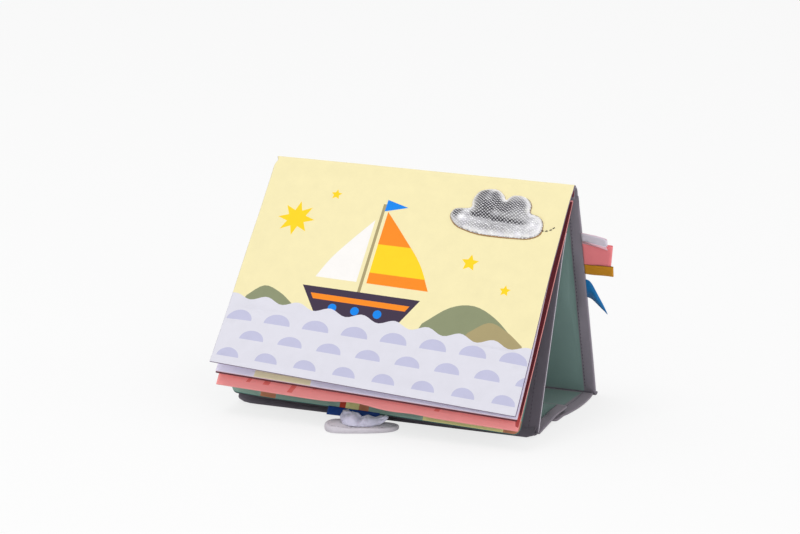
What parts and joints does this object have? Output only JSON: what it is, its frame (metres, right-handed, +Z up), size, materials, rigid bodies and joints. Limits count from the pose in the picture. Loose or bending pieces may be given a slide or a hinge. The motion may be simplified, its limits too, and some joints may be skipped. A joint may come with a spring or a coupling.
{
  "type": "tummy time book",
  "caption": "Soft fabric activity book that stands as a folding tent. Padded pages turn over its ridge, with ribbon tags on one edge, a padded cloud and a small dangling toy.",
  "frame": {"origin": "middle of the stand's footprint, on the surface that it stands on", "axes": "+X along the ridge, the pages face -Y, +Z up"},
  "size_m": [0.2638, 0.164, 0.1714],
  "materials": {
    "slate": "plain weave",
    "teal": "plain weave",
    "board": "plain stiffener sheet",
    "batting": "loose wadding",
    "page_1": "printed cotton",
    "page_2": "printed cotton",
    "page_3": "printed cotton",
    "page_4": "printed cotton",
    "silver": "metallic cloth",
    "navy": "plain weave",
    "lavender": "satin",
    "coral": "ribbed ribbon",
    "mustard": "ribbed ribbon",
    "blue": "satin",
    "felt": "felt",
    "closure": "hook and loop"
  },
  "bodies": {
    "front_panel": {"spine_seam": "slate", "front_panel_skin": "slate", "front_panel_board": "board", "front_panel_lining": "teal", "front_panel_binding_left": "slate", "front_panel_binding_right": "slate"},
    "page_4": {"page_4_front": "page_4", "page_4_batting": "batting", "page_4_back": "page_4"},
    "page_3": {"page_3_front": "page_3", "page_3_batting": "batting", "page_3_back": "page_3"},
    "page_2": {"page_2_front": "page_2", "page_2_batting": "batting", "page_2_back": "page_2"},
    "page_1": {"page_1_front": "page_1", "page_1_batting": "batting", "page_1_back": "page_1", "cloud_backing": "silver", "cloud_pad": "silver"},
    "back_panel": {"back_panel_skin": "slate", "back_panel_board": "board", "back_panel_lining": "teal", "back_panel_binding_left": "slate", "back_panel_binding_right": "slate"},
    "front_flap": {"front_flap_skin": "slate", "front_flap_board": "board", "front_flap_lining": "teal", "front_flap_binding_left": "slate", "front_flap_binding_right": "slate", "hook_strip": "closure"},
    "rear_flap": {"rear_flap_skin": "slate", "rear_flap_board": "board", "rear_flap_lining": "teal", "rear_flap_binding_left": "slate", "rear_flap_binding_right": "slate", "loop_strip": "closure"},
    "lavender_tag": {"ribbon_lavender": "lavender"},
    "coral_tag": {"ribbon_coral": "coral"},
    "mustard_tag": {"ribbon_mustard": "mustard"},
    "blue_tag": {"ribbon_blue": "blue"},
    "toy": {"toy_tab": "navy", "toy_satin": "lavender", "toy_pad": "felt"}
  },
  "joints": [
    {"name": "page_4_turn", "type": "hinge", "parent": "front_panel", "child": "page_4", "pos_m": [0, 0.0138, 0.1664], "axis": [-1, 0, 0], "range_deg": [0, 270]},
    {"name": "page_3_turn", "type": "hinge", "parent": "page_4", "child": "page_3", "pos_m": [0, 0.0138, 0.1664], "axis": [-1, 0, 0], "range_deg": [0, 270]},
    {"name": "page_2_turn", "type": "hinge", "parent": "page_3", "child": "page_2", "pos_m": [0, 0.0138, 0.1664], "axis": [-1, 0, 0], "range_deg": [0, 270]},
    {"name": "page_1_turn", "type": "hinge", "parent": "page_2", "child": "page_1", "pos_m": [0, 0.0138, 0.1664], "axis": [-1, 0, 0], "range_deg": [0, 270]},
    {"name": "back_panel_open", "type": "hinge", "parent": "front_panel", "child": "back_panel", "pos_m": [0, 0.0138, 0.1664], "axis": [1, 0, 0], "range_deg": [0, 140]},
    {"name": "front_flap_fold", "type": "hinge", "parent": "front_panel", "child": "front_flap", "pos_m": [0, -0.05446, 0.0024], "axis": [1, 0, 0], "range_deg": [0, 45]},
    {"name": "rear_flap_fold", "type": "hinge", "parent": "back_panel", "child": "rear_flap", "pos_m": [0, 0.05503, 0], "axis": [1, 0, 0], "range_deg": [0, 105]},
    {"name": "lavender_tag_bend", "type": "hinge", "parent": "back_panel", "child": "lavender_tag", "pos_m": [0.1203, 0.02258, 0.12914], "axis": [0, 0.2648, -0.9643], "range_deg": [-75, 75]},
    {"name": "coral_tag_bend", "type": "hinge", "parent": "back_panel", "child": "coral_tag", "pos_m": [0.1203, 0.02645, 0.11507], "axis": [0, 0.2648, -0.9643], "range_deg": [-75, 75]},
    {"name": "mustard_tag_bend", "type": "hinge", "parent": "back_panel", "child": "mustard_tag", "pos_m": [0.1203, 0.03015, 0.10157], "axis": [0, 0.2648, -0.9643], "range_deg": [-75, 75]},
    {"name": "blue_tag_bend", "type": "hinge", "parent": "back_panel", "child": "blue_tag", "pos_m": [0.1203, 0.03362, 0.08893], "axis": [0, 0.2648, -0.9643], "range_deg": [-75, 75]},
    {"name": "toy_swing", "type": "hinge", "parent": "page_4", "child": "toy", "pos_m": [0, -0.08123, 0.00993], "axis": [-1, 0, 0], "range_deg": [-55, 30]}
  ]
}
